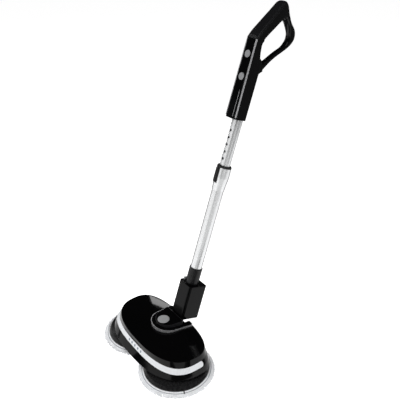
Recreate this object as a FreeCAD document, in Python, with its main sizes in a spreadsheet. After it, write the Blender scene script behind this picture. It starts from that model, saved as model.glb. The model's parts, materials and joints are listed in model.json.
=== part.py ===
import FreeCAD, Part
import math
import os
import Sketcher
from FreeCAD import Vector, Placement, Rotation

# Cordless twin-disc spin mop.  Millimetres, +Z up, -Y is the front of the head,
# X runs along the head.  The floor is z = 0.

doc = FreeCAD.newDocument("spin_mop")
sheet = doc.addObject("Spreadsheet::Sheet", "Sizes")
SIZES = [
    ("y_shift", 167.76), ("lean", 18.33), ("stick_y", 85.8), ("stick_z", 80.0),
    ("disc_gap_half", 89.55), ("disc_rad", 84.5), ("disc_bottom", 9.0), ("disc_top", 27.0),
    ("pad_rad", 89.1), ("pad_thick", 8.8), ("hub_rad", 17.0), ("spindle_rad", 5.0),
    ("bush_rad", 9.0), ("bush_clear", 0.05), ("motor_rad", 21.0), ("motor_len", 16.0),
    ("gearbox_rad", 26.0), ("gearbox_len", 12.0),
    ("head_y", 20.0), ("skirt_bottom", 30.0), ("strip_low", 44.5), ("strip_top", 56.0),
    ("crease", 71.0), ("dome_top", 76.6), ("wall", 2.5),
    ("skirt_long", 164.0), ("skirt_deep", 104.0), ("mid_long", 158.5), ("mid_deep", 90.0),
    ("up_long", 151.0), ("up_deep", 84.3), ("top_long", 146.3), ("top_deep", 84.0),
    ("skirt_rear", 70.0), ("mid_rear", 68.0), ("up_rear", 66.0), ("top_rear", 64.0),
    ("well_half", 32.0), ("well_front", 62.0), ("well_floor", 50.0),
    ("button_rad", 15.4), ("button_y", 22.4), ("button_travel", 2.0),
    ("pivot_y", 84.0), ("pivot_z", 88.0), ("pivot_rad", 4.0), ("roll_z", 66.0), ("roll_rad", 4.0),
    ("run_clear", 0.05), ("barrel_rad", 8.5),
    ("box_half", 25.4), ("box_front", 23.8), ("box_back", 32.0), ("box_low", -3.0), ("box_top", 94.0),
    ("sleeve_rad", 18.4), ("sleeve_top", 139.0),
    ("outer_rad", 15.24), ("outer_wall", 1.2), ("outer_low", 60.0), ("outer_top", 400.0),
    ("inner_rad", 13.2), ("inner_wall", 1.1), ("inner_low", 182.0), ("inner_top", 612.0),
    ("hole_pitch", 18.2), ("hole_first", 439.4), ("hole_rad", 3.2),
    ("collar_low", 357.0), ("collar_top", 417.0), ("collar_rad", 18.6), ("ring_top", 422.0),
    ("handle_low", 541.0), ("handle_half", 18.0), ("handle_front", 27.0), ("handle_back", 13.6),
]
for number, (alias, value) in enumerate(SIZES, start=1):
    sheet.set("A%d" % number, alias)
    sheet.set("B%d" % number, "%g" % value)
    sheet.setAlias("B%d" % number, alias)
doc.recompute()


class Q:
    """A size that carries both its value and the sheet expression for it."""

    def __init__(self, value, text):
        self.v = float(value)
        self.t = text

    def __add__(self, other):
        other = q(other)
        return Q(self.v + other.v, "(%s + %s)" % (self.t, other.t))

    def __radd__(self, other):
        return q(other) + self

    def __sub__(self, other):
        other = q(other)
        return Q(self.v - other.v, "(%s - %s)" % (self.t, other.t))

    def __rsub__(self, other):
        return q(other) - self

    def __mul__(self, other):
        other = q(other)
        return Q(self.v * other.v, "(%s * %s)" % (self.t, other.t))

    def __rmul__(self, other):
        return q(other) * self

    def __truediv__(self, other):
        other = q(other)
        return Q(self.v / other.v, "(%s / %s)" % (self.t, other.t))

    def __neg__(self):
        return Q(-self.v, "(0 - %s)" % self.t)


def q(value):
    return value if isinstance(value, Q) else Q(value, "%g" % value)


def cell(alias):
    return Q(float(sheet.get(alias)), "Sizes." + alias)


C = {alias: cell(alias) for alias, _ in SIZES}
V = {alias: C[alias].v for alias in C}
YS = V["y_shift"]
UPRIGHT = Placement()
# the stick's own frame: local +Z runs up the tube, local -Y is its front
STICK = Placement(Vector(0, V["stick_y"] - YS, V["stick_z"]), Rotation(Vector(1, 0, 0), -V["lean"]))
HEAD = Placement(Vector(0, -YS, 0), Rotation())

pieces = []


def keep(obj, label, place):
    obj.Label = label
    obj.Placement = place
    pieces.append(obj)
    return obj


def origin_plane(body, role):
    for feature in body.Origin.OriginFeatures:
        if feature.Role == role:
            return feature
    raise RuntimeError(role)


def bind(sketch, constraint, expression):
    index = sketch.addConstraint(constraint)
    if expression is not None:
        sketch.setExpression("Constraints[%d]" % index, expression)
    return index


def new_sketch(body, role, name, offset=0):
    sketch = body.newObject("Sketcher::SketchObject", name)
    sketch.AttachmentSupport = [(origin_plane(body, role), "")]
    sketch.MapMode = "FlatFace"
    offset = q(offset)
    if offset.v:
        sketch.AttachmentOffset = Placement(Vector(0, 0, offset.v), Rotation())
        sketch.setExpression("AttachmentOffset.Base.z", offset.t)
    return sketch


def outline(sketch, points):
    """Closed polygon; every corner is tied to the sheet by two distances."""
    points = [(q(a), q(b)) for a, b in points]
    count = len(points)
    first = sketch.GeometryCount
    for i in range(count):
        a, b = points[i], points[(i + 1) % count]
        sketch.addGeometry(Part.LineSegment(Vector(a[0].v, a[1].v, 0), Vector(b[0].v, b[1].v, 0)), False)
    for i in range(count):
        sketch.addConstraint(Sketcher.Constraint("Coincident", first + i, 2, first + (i + 1) % count, 1))
    for i, (a, b) in enumerate(points):
        geo = first + i
        if abs(a.v) < 1e-9:
            sketch.addConstraint(Sketcher.Constraint("PointOnObject", geo, 1, -2))
        else:
            bind(sketch, Sketcher.Constraint("DistanceX", -1, 1, geo, 1, a.v), a.t)
        if abs(b.v) < 1e-9:
            sketch.addConstraint(Sketcher.Constraint("PointOnObject", geo, 1, -1))
        else:
            bind(sketch, Sketcher.Constraint("DistanceY", -1, 1, geo, 1, b.v), b.t)


def ring(sketch, x, y, radius):
    """Circle with its centre and radius tied to the sheet."""
    x, y, radius = q(x), q(y), q(radius)
    geo = sketch.addGeometry(Part.Circle(Vector(x.v, y.v, 0), Vector(0, 0, 1), radius.v), False)
    if abs(x.v) < 1e-9:
        sketch.addConstraint(Sketcher.Constraint("PointOnObject", geo, 3, -2))
    else:
        bind(sketch, Sketcher.Constraint("DistanceX", -1, 1, geo, 3, x.v), x.t)
    if abs(y.v) < 1e-9:
        sketch.addConstraint(Sketcher.Constraint("PointOnObject", geo, 3, -1))
    else:
        bind(sketch, Sketcher.Constraint("DistanceY", -1, 1, geo, 3, y.v), y.t)
    bind(sketch, Sketcher.Constraint("Radius", geo, radius.v), radius.t)


def new_body(label, place):
    body = doc.addObject("PartDesign::Body", "Body_" + label)
    return keep(body, label, place)


def pad(body, role, shapes, length, offset=0, midplane=False):
    sketch = new_sketch(body, role, "Sketch_pad", offset)
    for kind, data in shapes:
        if kind == "poly":
            outline(sketch, data)
        else:
            ring(sketch, *data)
    feature = body.newObject("PartDesign::Pad", "Pad")
    feature.Profile = sketch
    length = q(length)
    feature.Length = length.v
    feature.setExpression("Length", length.t)
    if midplane:
        feature.Midplane = True
    doc.recompute()
    return feature


def pocket(body, role, shapes, length, offset=0, midplane=False, reverse=False):
    before = body.Shape.Volume
    sketch = new_sketch(body, role, "Sketch_cut", offset)
    for kind, data in shapes:
        if kind == "poly":
            outline(sketch, data)
        else:
            ring(sketch, *data)
    feature = body.newObject("PartDesign::Pocket", "Pocket")
    feature.Profile = sketch
    length = q(length)
    feature.Length = length.v
    feature.setExpression("Length", length.t)
    feature.Midplane = midplane
    feature.Reversed = reverse
    doc.recompute()
    if not body.Shape.Volume < before - 1e-3:
        raise RuntimeError("%s: a pocket cuts nothing" % body.Label)
    return feature


def turn(body, profile):
    """Revolution about local Z of a profile of (radius, height) corners."""
    sketch = new_sketch(body, "XZ_Plane", "Sketch_turn")
    outline(sketch, profile)
    feature = body.newObject("PartDesign::Revolution", "Revolution")
    feature.Profile = sketch
    feature.ReferenceAxis = (sketch, ["V_Axis"])
    feature.Angle = 360.0
    doc.recompute()
    return feature


def soften(body, size, pick, kind="PartDesign::Fillet"):
    """Fillet or chamfer the edges of the body's tip that pick() accepts."""
    tip = body.Tip
    names = ["Edge%d" % (i + 1) for i, e in enumerate(tip.Shape.Edges) if pick(e)]
    if not names:
        raise RuntimeError("%s: no edge to soften" % body.Label)
    feature = body.newObject(kind, "Soft")
    feature.Base = (tip, names)
    size = q(size)
    prop = "Radius" if kind.endswith("Fillet") else "Size"
    setattr(feature, prop, size.v)
    feature.setExpression(prop, size.t)
    doc.recompute()
    return feature


def along(edge, axis):
    if edge.Curve.TypeId != "Part::GeomLine":
        return False
    d = edge.Vertexes[-1].Point - edge.Vertexes[0].Point
    return abs(abs(d.normalize().dot(axis)) - 1) < 1e-6


def turned(label, place, profile):
    body = new_body(label, place)
    turn(body, profile)
    return body


def slab(label, place, role, shapes, length, offset=0, midplane=False):
    body = new_body(label, place)
    pad(body, role, shapes, length, offset, midplane)
    return body


def formed(label, place, shape):
    """A free-form piece: shape from Part's own functions, then its place."""
    obj = doc.addObject("Part::Feature", "Form_" + label)
    own = shape.Placement
    obj.Shape = shape
    return keep(obj, label, place.multiply(own))


def cyl(r, h, x=0, y=0, z=0, axis=Vector(0, 0, 1)):
    return Part.makeCylinder(r, h, Vector(x, y, z), axis)


def box(x0, x1, y0, y1, z0, z1):
    return Part.makeBox(x1 - x0, y1 - y0, z1 - z0, Vector(x0, y0, z0))


def oval(a, b, yc, n, z, rear=None, rear_n=None, count=56):
    """Closed smooth superellipse wire; the rear half may have its own depth and squareness."""
    pts = []
    for i in range(count):
        t = 2 * math.pi * i / count
        c, s = math.cos(t), math.sin(t)
        deep, power = (b, n) if s < 0 or rear is None else (rear, rear_n)
        pts.append(Vector(a * math.copysign(abs(c) ** (2 / power), c),
                          yc + deep * math.copysign(abs(s) ** (2 / power), s), z))
    curve = Part.BSplineCurve()
    curve.interpolate(Points=pts, PeriodicFlag=True)
    return Part.Wire([curve.toShape()])


def rounded(x0, x1, y0, y1, z0, z1, r, axis=Vector(0, 0, 1), extra=None):
    solid = box(x0, x1, y0, y1, z0, z1)
    edges = [e for e in solid.Edges if along(e, axis) and (extra is None or extra(e))]
    return solid.makeFillet(r, edges)


# ---------------------------------------------------------------- head casing
W = V["wall"]
YC = V["head_y"]
LEVELS = [
    (V["skirt_bottom"], V["skirt_long"], V["skirt_deep"], 2.5, V["skirt_rear"]),
    (V["strip_low"], V["mid_long"], V["mid_deep"], 2.85, V["mid_rear"]),
    (V["strip_top"], V["up_long"], V["up_deep"], 2.7, V["up_rear"]),
    (V["crease"], V["top_long"], V["top_deep"], 2.48, V["top_rear"]),
]


def between(z, inset=0.0):
    """Outline of the casing at any height, by straight walls between the four levels."""
    for (z0, a0, b0, n0, c0), (z1, a1, b1, n1, c1) in zip(LEVELS, LEVELS[1:]):
        if z <= z1 or z1 == LEVELS[-1][0]:
            f = (z - z0) / (z1 - z0)
            return oval(a0 + (a1 - a0) * f - inset, b0 + (b1 - b0) * f - inset, YC, n0 + (n1 - n0) * f, z,
                        c0 + (c1 - c0) * f - inset, 2.7)


def level(i, inset=0.0, lift=0.0):
    z, a, b, n, c = LEVELS[i]
    return oval(a - inset, b - inset, YC, n, z + lift, c - inset, 2.7)


def dome(inset=0.0, drop=0.0):
    """Crowned top of the head, from the crease inwards."""
    z, a, b, n, c = LEVELS[3]
    rise = V["dome_top"] - z
    wires = []
    for scale in (1.0, 0.9, 0.75, 0.55, 0.35):
        h = z + rise * (1 - scale ** 2) / (1 - 0.35 ** 2) - drop
        wires.append(oval((a - inset) * scale, (b - inset) * scale, YC, n, h, (c - inset) * scale, 2.7))
    return Part.makeLoft(wires, True, False)


def band(i, j, inset=0.0):
    return Part.makeLoft([level(i, inset), level(j, inset)], True, True)


upper_outer = band(1, 2).fuse(band(2, 3)).fuse(dome()).removeSplitter()
mid_in = Part.makeLoft([between(V["strip_low"] - 1, W), between(V["strip_top"], W), level(3, W, -W)], True, True)
upper_inner = mid_in.fuse(dome(W, W)).removeSplitter()
WH, WF, WZ = V["well_half"], V["well_front"], V["well_floor"]
well = box(-WH, WH, WF, 140, WZ, 120)
well_shell = box(-WH - W, WH + W, WF - W, 140, WZ - W, 120)
strip_zone = box(-200, 200, -200, 31.0, V["strip_low"] - 2, V["strip_top"])
strip_tips = cyl(5.75, 400, -200, 31.0, (V["strip_low"] + V["strip_top"]) / 2, Vector(1, 0, 0))
strip_zone = strip_zone.fuse(strip_tips)
top_shell = upper_outer.cut(upper_inner.cut(well_shell)).cut(well)
top_shell = top_shell.cut(strip_zone)
for x in (-18, 18):
    top_shell = top_shell.cut(cyl(2.05, 10, x, 74, WZ - 5))
formed("head_top_shell", HEAD, top_shell)

# front light strip: translucent ribbed lens wrapped round the front and the ends
lens_out = band(1, 2, -0.3)
lens_in = band(1, 2, 2.6)
lens = lens_out.cut(lens_in).common(strip_zone)
formed("light_strip_lens", HEAD, lens)

# lower skirt, open below, carrying the base plate on an inner ledge
skirt_out = band(0, 1)
skirt_in = band(0, 1, W)
formed("head_skirt", HEAD, skirt_out.cut(skirt_in))

PL0, PL1 = 34.0, 37.0
G = V["disc_gap_half"]
plate = Part.makeLoft([between(PL0, W + 0.45), between(PL1, W + 0.45)], True, True)
for s in (-1, 1):
    plate = plate.fuse(cyl(13.5, 9, s * G, 0, PL0))
    plate = plate.cut(cyl(V["bush_rad"], 20, s * G, 0, PL0 - 2))
SCREWS = [(-128, -30), (128, -30), (-128, 50), (128, 50), (-35, -55), (35, -55), (-60, 70), (60, 70)]
for x, y in SCREWS:
    plate = plate.fuse(cyl(5, 4.5, x, y, PL0)).cut(cyl(1.5, 20, x, y, PL0 - 2)).cut(cyl(3.2, 1.6, x, y, PL0))
formed("base_plate", HEAD, plate.removeSplitter())
screws = [cyl(3.1, 1.4, x, y, PL0 + 0.1).fuse(cyl(1.5, 8, x, y, PL0 + 1.0)).removeSplitter() for x, y in SCREWS]
formed("base_screws", HEAD, Part.makeCompound(screws))

# ---------------------------------------------------------------- plinth on the head
def tier(a, front_y, yc, n, back, flare, z0, z1, corner=6.0):
    """Low block: round front, straight flaring sides, squared back."""
    b = yc - front_y
    front = Part.Face(oval(a, b, yc, n, z0)).extrude(Vector(0, 0, z1 - z0))
    front = front.common(box(-200, 200, -200, yc, z0 - 1, z1 + 1))
    rear = Part.Face(Part.makePolygon([Vector(x, y, z0) for x, y in (
        (-a, yc), (a, yc), (a + flare, back), (-a - flare, back), (-a, yc))])).extrude(Vector(0, 0, z1 - z0))
    rear = rear.makeFillet(corner, [e for e in rear.Edges if along(e, Vector(0, 0, 1)) and e.Vertexes[0].Point.y > yc + 1])
    return front.fuse(rear).removeSplitter()


def above(y0, z0, slope, lift=0.0):
    """Everything above a plane that falls towards the rear."""
    block = box(-200, 200, -300, 300, 0, 200)
    block.rotate(Vector(0, 0, 0), Vector(1, 0, 0), -math.degrees(math.atan(slope)))
    block.translate(Vector(0, y0, z0 + lift))
    return block


dome_solid = upper_outer
FALL = 0.095
lower = tier(43.4, -6.4, 38.0, 2.05, 81.0, 5.0, 60.0, 95.0)
outer_tier = tier(45.2, -8.4, 38.0, 2.05, 83.0, 5.2, 60.0, 95.0, 7.0)
button_hole = cyl(V["button_rad"] + 0.35, 60, 0, V["button_y"], 78.0)
plinth_cut = box(-WH, WH, WF, 140, 40, 140)
spring_seat = cyl(10.0, 20, 0, V["button_y"], 80.0)
lower_solid = lower.cut(above(5.0, 84.6, FALL)).cut(dome_solid).cut(plinth_cut).cut(spring_seat)
formed("plinth_body", HEAD, lower_solid)
trim = outer_tier.cut(lower).cut(above(5.0, 83.8, FALL)).cut(dome_solid).cut(plinth_cut)
formed("plinth_trim", HEAD, trim)
upper_base = above(5.0, 84.6, FALL)
cap = tier(31.2, 5.9, 37.0, 2.05, 58.6, 4.4, 76.0, 91.2, 4.0).common(upper_base)
ring_band = tier(33.2, 4.2, 37.0, 2.05, 60.6, 4.6, 76.0, 90.2, 5.0).common(upper_base)
ring_band = ring_band.cut(tier(31.2, 5.9, 37.0, 2.05, 58.6, 4.4, 76.0, 91.2, 4.0))
cap = cap.cut(button_hole)
formed("plinth_cap", HEAD, cap)
formed("plinth_ring", HEAD, ring_band)

BR = C["button_rad"]
BTN = Placement(Vector(0, V["button_y"] - YS, 0), Rotation())
pedal = turned("release_pedal", BTN, [(0, 87), (BR, 87), (BR, 91.6), (BR - 1.2, 92.5), (0, 93.0)])
# bellows spring: a stack of shallow cones that folds flat
turned("pedal_spring", BTN, [
    (5.4, 80.1), (7.8, 81.4), (5.4, 82.7), (7.8, 84.0), (5.4, 85.3), (7.8, 86.4),
    (7.8, 85.7), (5.4, 84.6), (7.8, 83.3), (5.4, 82.0), (7.8, 80.7), (6.6, 80.1)])

# ---------------------------------------------------------------- drive units, lamps, electronics
for side, s in (("left", -1), ("right", 1)):
    at = Placement(Vector(s * G, -YS, 0), Rotation())
    SR, BU, GR = C["spindle_rad"], C["bush_rad"], C["gearbox_rad"]
    CL = C["bush_clear"]
    bush = turned(side + "_bush", at, [(SR + CL, PL0), (BU, PL0), (BU, 44.5), (SR + CL, 44.5)])
    gear = turned(side + "_gearbox", at,
                  [(0, 57.5), (0, 54.5), (SR + CL, 54.5), (SR + CL, 45.0), (GR, 45.0), (GR, 57.5)])
    motor = turned(side + "_motor", at, [(0, 57.5), (22.0, 57.5), (22.0, 66.0), (6.0, 66.0), (6.0, 67.5), (0, 67.5)])
    shaft = turned(side + "_spindle", at, [(0, 12.0), (SR, 12.0), (SR, 54.0), (0, 54.0)])
    DR, DB, HR = C["disc_rad"], C["disc_bottom"] + 0.6, C["hub_rad"]
    disc = turned(side + "_disc", at, [
        (SR, 12.0), (HR, 12.0), (HR, 20.5), (60, 19.6), (75, 16.0), (78.5, 11.5), (78.5, DB), (DR, DB),
        (DR, DB + 3.2), (79.5, 19.2), (62, 23.6), (HR + 3, 24.6), (HR, 28.5), (SR, 28.5)])
    hook = turned(side + "_hook_layer", at, [(0, C["pad_thick"]), (82.0, C["pad_thick"]), (82.0, DB), (0, DB)])
    mop = turned(side + "_mop_pad", at, [
        (0, 0), (C["pad_rad"] - 3.5, 0), (C["pad_rad"], 3.2), (C["pad_rad"], 6.0), (C["pad_rad"] - 3.5, C["pad_thick"]),
        (0, C["pad_thick"])])

lamp_r = 3.0
LAMPS = [-28, -14, 0, 14, 28]


def front_y(x, inset):
    a, b, n = V["mid_long"] * 0.5 + V["up_long"] * 0.5 - inset, (V["mid_deep"] + V["up_deep"]) / 2 - inset, 2.78
    return YC - b * (1 - (abs(x) / a) ** n) ** (1 / n)


lamps = []
for x in LAMPS:
    y = front_y(x, 4.0)
    lamps.append(cyl(2.4, front_y(0, 4.0) + 3.0 - y, x, y, 50.2, Vector(0, 1, 0)))
formed("led_lamps", HEAD, Part.makeCompound(lamps))
formed("led_board", HEAD, box(-38, 38, front_y(0, 4.0) + 3.0, front_y(0, 4.0) + 4.6, 45, 56))
board = slab("control_board", Placement(Vector(0, -20 - YS, 45), Rotation()), "XY_Plane",
             [("poly", [(-30, -14), (30, -14), (30, 14), (-30, 14)])], 1.6)

# ---------------------------------------------------------------- universal joint
PY, PZ, RZ = V["pivot_y"], V["pivot_z"], V["roll_z"]
RC = V["run_clear"]
AX, AY, AZ = Vector(1, 0, 0), Vector(0, 1, 0), Vector(0, 0, 1)
bracket = rounded(-10, 10, 62.0, 70.0, 50.0, 75.5, 6.0, AY, extra=lambda e: e.Vertexes[0].Point.z > 60)
bracket = bracket.fuse(rounded(-24, 24, 62.0, 82.0, 50.0, 53.0, 4.0)).cut(cyl(V["roll_rad"], 20, 0, 60, RZ, AY))
for x in (-18, 18):
    bracket = bracket.cut(cyl(2.1, 10, x, 74, 48))
formed("joint_bracket", HEAD, bracket.removeSplitter())
formed("bracket_screws", HEAD, Part.makeCompound(
    [cyl(3.6, 2.2, x, 74, 53.0).fuse(cyl(2.05, 9, x, 74, 44.2)).removeSplitter() for x in (-18, 18)]))
roll_pin = cyl(V["roll_rad"], 18.3, 0, 62.2, RZ, AY).fuse(cyl(6.6, 2.6, 0, 80.3, RZ, AY)).removeSplitter()
formed("roll_pin", HEAD, roll_pin)

tongue = Part.Face(Part.makePolygon([Vector(0, y, z) for y, z in (
    (70.4, 67), (72, 60), (79.5, 58.5), (88, 70), (93.2, 84), (92.2, 93), (86, 97.4), (79, 95.5), (74.5, 86), (70.4, 74),
    (70.4, 67))])).extrude(Vector(11.6, 0, 0))
tongue.translate(Vector(-5.8, 0, 0))
tongue = tongue.makeFillet(1.2, [e for e in tongue.Edges if not along(e, AX) and e.Vertexes[0].Point.z > 76
                                 and e.Vertexes[-1].Point.z > 76])
knuckle = cyl(V["barrel_rad"], 9.4, 0, 70.4, RZ, AY).fuse(tongue)
knuckle = knuckle.cut(cyl(V["roll_rad"] + RC, 40, 0, 60, RZ, AY)).cut(cyl(7.4, 20, 0, 79.8, RZ, AY))
knuckle = knuckle.cut(cyl(V["pivot_rad"] + RC, 40, -20, PY, PZ, AX)).removeSplitter()
formed("joint_knuckle", HEAD, knuckle)

# ---------------------------------------------------------------- stick, in its own upright frame
lean = math.radians(V["lean"])
dy, dz = PY - V["stick_y"], PZ - V["stick_z"]
pivot_l = (dy * math.cos(lean) - dz * math.sin(lean), dy * math.sin(lean) + dz * math.cos(lean))
BH, BF, BB = V["box_half"], V["box_front"], V["box_back"]
B0, B1 = V["box_low"], V["box_top"]
house = box(-BH, BH, -BF + 2.4, BB, B0, B1)
house = house.makeFillet(4.0, [e for e in house.Edges if along(e, AZ) and e.Vertexes[0].Point.y > 0])
house = house.makeFillet(4.0, [e for e in house.Edges if along(e, AZ) and e.Vertexes[0].Point.y < 0])
house = house.makeFillet(1.5, [e for e in house.Edges if abs(e.CenterOfMass.z - B1) < 1e-6])
house = house.cut(box(-18.9, 18.9, -12.6, 40, 24.5, 91.0))          # pack bay, open at the rear
house = house.cut(box(-20.7, 20.7, 26.9, 40, 21.0, 92.6))           # recess of the pack's rear plate
house = house.cut(box(-BH + 1.9, BH - 1.9, -30, -16.9, B0 - 1, B1 + 1))     # recess of the front cover
house = house.cut(box(-6.4, 6.4, -30, 15.0, B0 - 1, 22.5))          # slot of the joint tongue
house = house.cut(box(-18.9, -9.5, -14, 26, 3, 24.0)).cut(box(9.5, 18.9, -14, 26, 3, 24.0)).fuse(
    cyl(8.0, 12.6, -19.0, pivot_l[0], pivot_l[1], AX)).fuse(cyl(8.0, 12.6, 6.4, pivot_l[0], pivot_l[1], AX))
house = house.cut(cyl(V["pivot_rad"], 38, -19, pivot_l[0], pivot_l[1], AX))
house = house.cut(cyl(2.1, 8, 0, 0, 90.0))
formed("box_housing", STICK, house.removeSplitter())
formed("pitch_pin", STICK, cyl(V["pivot_rad"], 37.6, -18.8, pivot_l[0], pivot_l[1], AX))

plate = rounded(-BH + 3.2, BH - 3.2, -BF, -17.25, B0 + 0.2, B1 - 0.4, 4.4, AZ, extra=lambda e: e.Vertexes[0].Point.y < -20)
plate = plate.makeFillet(1.2, [e for e in plate.Edges if e.BoundBox.YMax < -17.3 and
                               (e.BoundBox.ZMin > B1 - 0.5 or e.BoundBox.ZMax < B0 + 0.3)])
formed("box_front_cover", STICK, plate)
pack = box(-20.35, 20.35, 27.2, BB - 0.1, 21.4, 92.2).fuse(box(-18.5, 18.5, -12.2, 27.2, 25.0, 90.6))
pack = pack.cut(box(-17.9, 17.9, -11.6, 25.0, 25.6, 90.0))
for x in (-6.0, 0.0, 6.0):
    pack = pack.cut(box(x - 1.4, x + 1.4, BB - 1.3, BB + 1, 50.0, 64.0))  # finger grooves
formed("battery_pack_case", STICK, pack.removeSplitter())
cells = [cyl(8.6, 63.6, x, y, 26.0) for x in (-8.9, 8.9) for y in (-2.6, 15.2)]
formed("battery_cells", STICK, Part.makeCompound(cells))
latch = rounded(-22.6, -17.8, -12.5, 7.5, 94.06, 100.5, 1.6, AX, extra=lambda e: e.Vertexes[0].Point.z > 99)
formed("battery_latch", STICK, latch)

SL, ST = C["sleeve_rad"], C["sleeve_top"]
SB = C["outer_rad"] + 0.0
turned("tube_sleeve", STICK, [(SB, 94), (SL - 1.0, 94), (SL - 1.2, 96), (SL - 1.2, ST - 6), (SL - 0.6, ST - 1), (SL - 0.9, ST),
                              (SB, ST)])
OR, OW = C["outer_rad"], C["outer_wall"]
RT, CT, CB, CR = C["ring_top"], C["collar_top"], C["collar_low"], C["collar_rad"]
outer = turned("outer_tube", STICK, [(OR - OW, 94.0), (OR, 94.0), (OR, CT), (OR - OW, CT)])
collar_body = new_body("tube_collar", STICK)
turn(collar_body, [(OR, CB), (OR + 0.5, CB), (CR - 0.6, CB + 26), (CR, CB + 34), (CR, CT), (OR, CT)])
pocket(collar_body, "XY_Plane", [("poly", [(-5.6, -30), (5.6, -30), (5.6, -(OR + 0.1)), (-5.6, -(OR + 0.1))])],
       42.0, offset=C["collar_top"] - 40.0, reverse=True)
seal = turned("collar_seal", STICK, [(C["inner_rad"] + 0.35, CT), (CR - 0.2, CT), (CR - 0.2, CT + 3.2), (CR - 1.6, RT),
                                     (C["inner_rad"] + 0.35, RT)])
rel = rounded(-5.2, 5.2, -22.6, -18.2, 378.5, 416.4, 2.0, AZ, extra=lambda e: e.Vertexes[0].Point.y < -20)
rel = rel.makeFillet(1.6, [e for e in rel.Edges if e.BoundBox.YMax < -18.3 and
                           (e.BoundBox.ZMin > 416.3 or e.BoundBox.ZMax < 378.6)])
rel = rel.cut(cyl(2.9, 3.0, 0, -21.0, 398.0, AY))
formed("tube_release_button", STICK, rel)
formed("release_spring", STICK, cyl(2.4, 2.9, 0, -18.3, 398.0, AY).cut(cyl(1.7, 4, 0, -18.6, 398.0, AY)))

IR, IW = C["inner_rad"], C["inner_wall"]
inner = new_body("inner_tube", STICK)
turn(inner, [(IR - IW, C["inner_low"]), (IR, C["inner_low"]), (IR, C["inner_top"]), (IR - IW, C["inner_top"])])
hole_sketch = new_sketch(inner, "XZ_Plane", "Sketch_holes")
ring(hole_sketch, 0, C["hole_first"] - C["hole_pitch"] * 12, C["hole_rad"])
cut = inner.newObject("PartDesign::Pocket", "Holes")
cut.Profile = hole_sketch
cut.Length = 40.0
cut.Reversed = True
doc.recompute()
before = inner.Shape.Volume
pattern = inner.newObject("PartDesign::LinearPattern", "HolePattern")
pattern.Originals = [cut]
pattern.Direction = (hole_sketch, ["V_Axis"])
pattern.Occurrences = 17
pattern.Length = 16 * V["hole_pitch"]
pattern.setExpression("Length", "16 * Sizes.hole_pitch")
inner.Tip = pattern
doc.recompute()

# ---------------------------------------------------------------- handle
HH, HF, HB, H0 = V["handle_half"], V["handle_front"], V["handle_back"] + 1.3, V["handle_low"]


def profile(points):
    return Part.makePolygon([Vector(0, y, z) for y, z in points + points[:1]])


def plate_x(points, half, inset=0.0):
    face = Part.Face(profile(points))
    if inset:
        face = Part.Face(Part.Wire(Part.__sortEdges__(face.makeOffset2D(-inset, join=2).Edges)))
    solid = face.extrude(Vector(2 * half, 0, 0))
    solid.translate(Vector(-half, 0, 0))
    return solid


# the handle narrows upwards: half-widths at heights along the stick
TAPER = [(H0 - 6, HH + 0.35), (722.0, 16.4), (746.0, 17.3), (790.0, 15.6), (835.0, 13.6)]


def tapered(points, trim=0.0, inset=0.0, top=None):
    """Side profile carried across the handle's width, which narrows upwards."""
    side = [Vector(w - trim, -60, z) for z, w in TAPER] + [Vector(-w + trim, -60, z) for z, w in reversed(TAPER)]
    prism = Part.Face(Part.makePolygon(side + side[:1])).extrude(Vector(0, 240, 0))
    return plate_x(points, HH + 4, inset).common(prism)


def round_over(shape, radius, pick):
    """Round the picked edges together, or one after another where that fails."""
    edges = [e for e in shape.Edges if pick(e)]
    try:
        out = shape.makeFillet(radius, edges)
        if out.isValid() and 0 < out.Volume < shape.Volume * 1.001:
            return out
    except Exception:
        pass
    middles = [e.CenterOfMass for e in edges]
    done = 0
    for m in middles:
        for e in shape.Edges:
            if (e.CenterOfMass - m).Length < 0.6:
                try:
                    out = shape.makeFillet(radius, [e])
                    if out.isValid() and out.Volume > 0:
                        shape = out
                        done += 1
                except Exception:
                    pass
                break
    print("rounded %d of %d edges" % (done, len(middles)))
    return shape


SHELL = [(-HF + 3.5, H0), (HB, H0), (HB, 604), (10.2, 648), (15.0, 652), (28.2, 662.5), (19.8, 680.5), (8.0, 685.5), (0.4, 690.5),
         (-2.8, 703), (-4.6, 717), (-4.2, 723.5), (-0.5, 731.5), (8.4, 742.7), (43.6, 785.5), (55.4, 788.2), (62.8, 804.9), (54.6, 816.9), (48, 811), (42.5, 817.6), (37.6, 818.8),
         (33.6, 814.8), (-15.0, 743.2), (-HF + 5.9, 731), (-HF + 3.5, 722)]


def on_side(e):
    if e.Curve.TypeId != "Part::GeomLine" and e.Length < 3:
        return False
    m = e.CenterOfMass
    return abs(m.x) > 11.0 and abs(e.Vertexes[0].Point.x) > 9 and abs(e.Vertexes[-1].Point.x) > 9 \
        and e.Vertexes[0].Point.x * e.Vertexes[-1].Point.x > 0



def rear_rounding(inset):
    """Plan shape of the handle below the window: rounded back, with a narrow fin towards the loop."""
    r, w, back = 11.5 - inset, HH + 0.4 - inset, HB - inset
    pts = [(-w, -60), (-w, back - r)]
    pts += [(-w + r - r * math.cos(math.radians(t)), back - r + r * math.sin(math.radians(t))) for t in range(9, 82, 9)]
    pts += [(-8.2 + inset, back + 0.2), (-8.2 + inset, 60)]
    pts += [(-x, y) for x, y in reversed(pts)]
    low = Part.Face(Part.makePolygon([Vector(x, y, 500) for x, y in pts + pts[:1]])).extrude(Vector(0, 0, 187.5))
    high = box(-60, 60, -60, 200, 687.4, 900)
    return low.fuse(high)


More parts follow.
